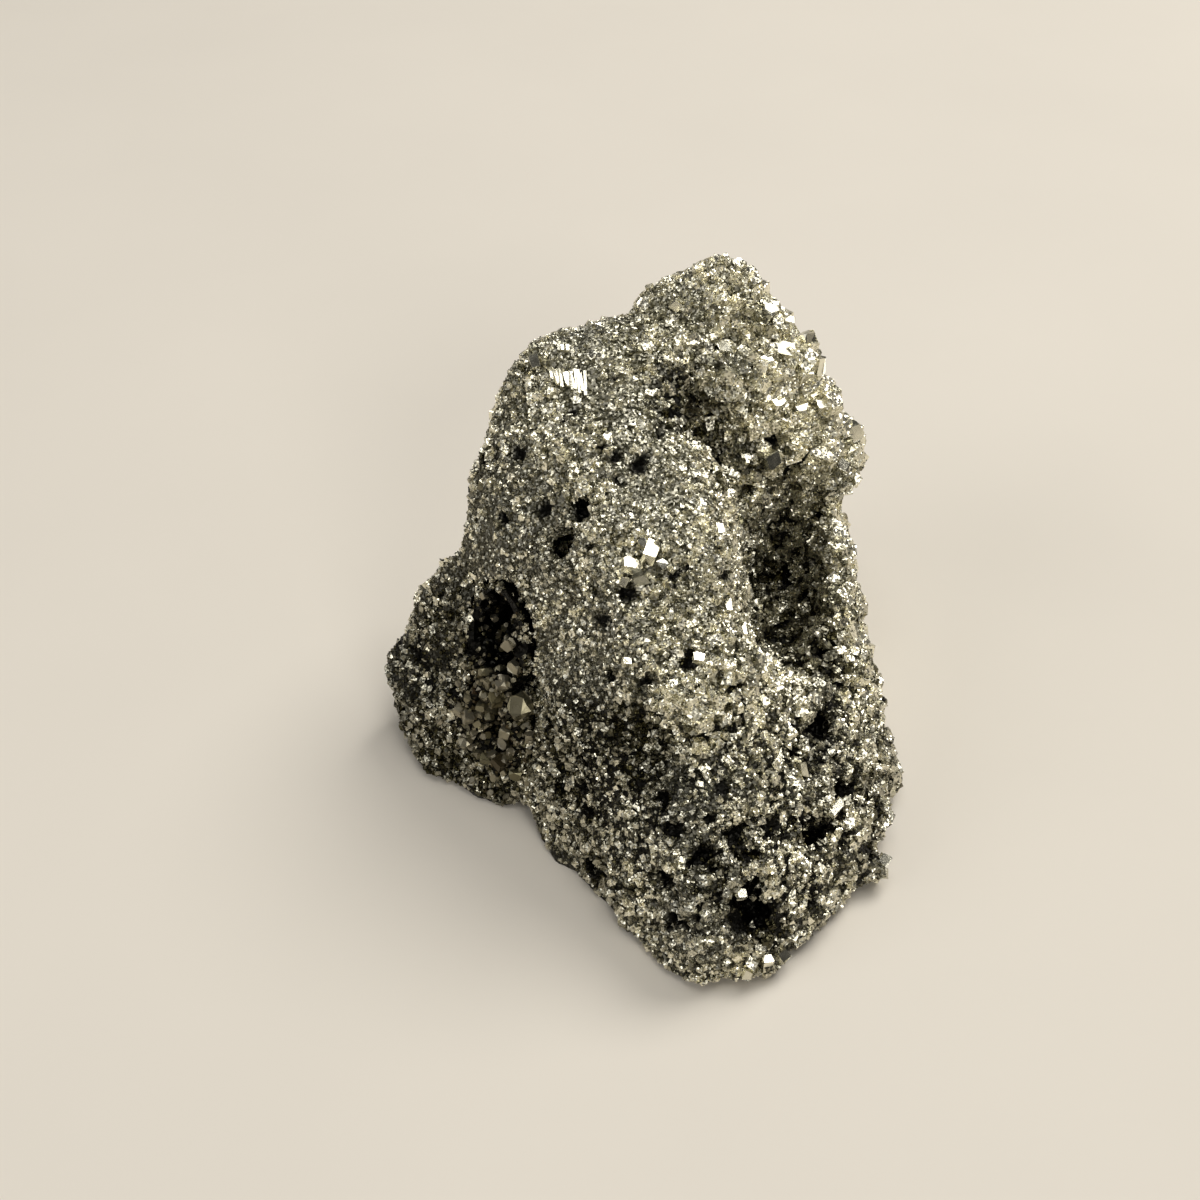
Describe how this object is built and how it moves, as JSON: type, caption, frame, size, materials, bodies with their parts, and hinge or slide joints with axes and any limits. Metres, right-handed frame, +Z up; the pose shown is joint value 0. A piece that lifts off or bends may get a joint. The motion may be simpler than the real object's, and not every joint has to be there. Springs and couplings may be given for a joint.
{
  "type": "pyrite specimen",
  "caption": "Broken lump of fine-grained pyrite with a horn, a long hollow, open pits and a vug lined with larger crystals.",
  "frame": {"origin": "middle of the specimen's box, on the surface it lies on", "axes": "+Z up, -Y to the low broken nose and +Y to the horn, +X to the side of the long hollow, -X to the side of the vug"},
  "size_m": [0.0772, 0.095, 0.0672],
  "materials": {
    "pyrite": "fine-grained, metallic sparkle",
    "vug_pyrite": "flat crystal faces, tarnished"
  },
  "bodies": {
    "root": {"pyrite_mass": "pyrite", "vug_crystals": "vug_pyrite"}
  },
  "joints": []
}
